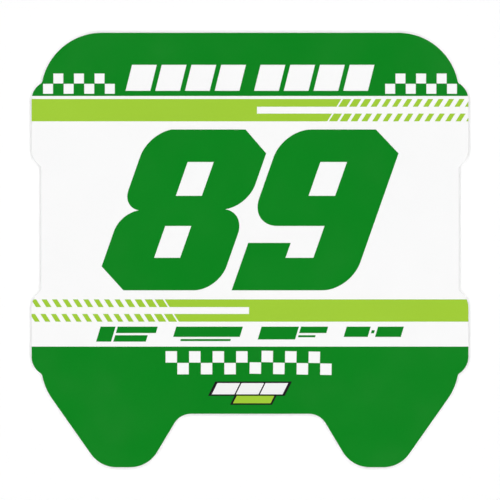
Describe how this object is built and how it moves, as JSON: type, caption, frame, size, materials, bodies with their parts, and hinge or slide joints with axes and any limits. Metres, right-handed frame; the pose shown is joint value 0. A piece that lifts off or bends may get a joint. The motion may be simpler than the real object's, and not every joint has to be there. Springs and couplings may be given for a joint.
{
  "type": "racing number board",
  "caption": "Flat plastic race number board with rounded corners, side ears and a notched foot, dressed in cut films that carry the number.",
  "frame": {"origin": "the middle of the board's back, on the surface that it lies on", "axes": "+X across the board, towards the right ears as the number is read; +Y up the board; +Z out of its printed face"},
  "size_m": [0.24, 0.2388, 0.0036],
  "materials": {
    "white_board": "satin moulded white plastic",
    "green_film": "gloss laminated film",
    "lime_film": "gloss laminated film",
    "black_film": "gloss laminated film",
    "white_film": "gloss laminated film"
  },
  "bodies": {
    "root": {"board": "white_board", "top_panel": "green_film", "bottom_panel": "green_film", "upper_stripe": "lime_film", "lower_stripe": "lime_film", "number_eight": "green_film", "number_nine": "green_film", "small_marks": "green_film", "badge_backing": "black_film", "badge_blocks": "white_film", "badge_stripe": "lime_film"}
  },
  "joints": []
}
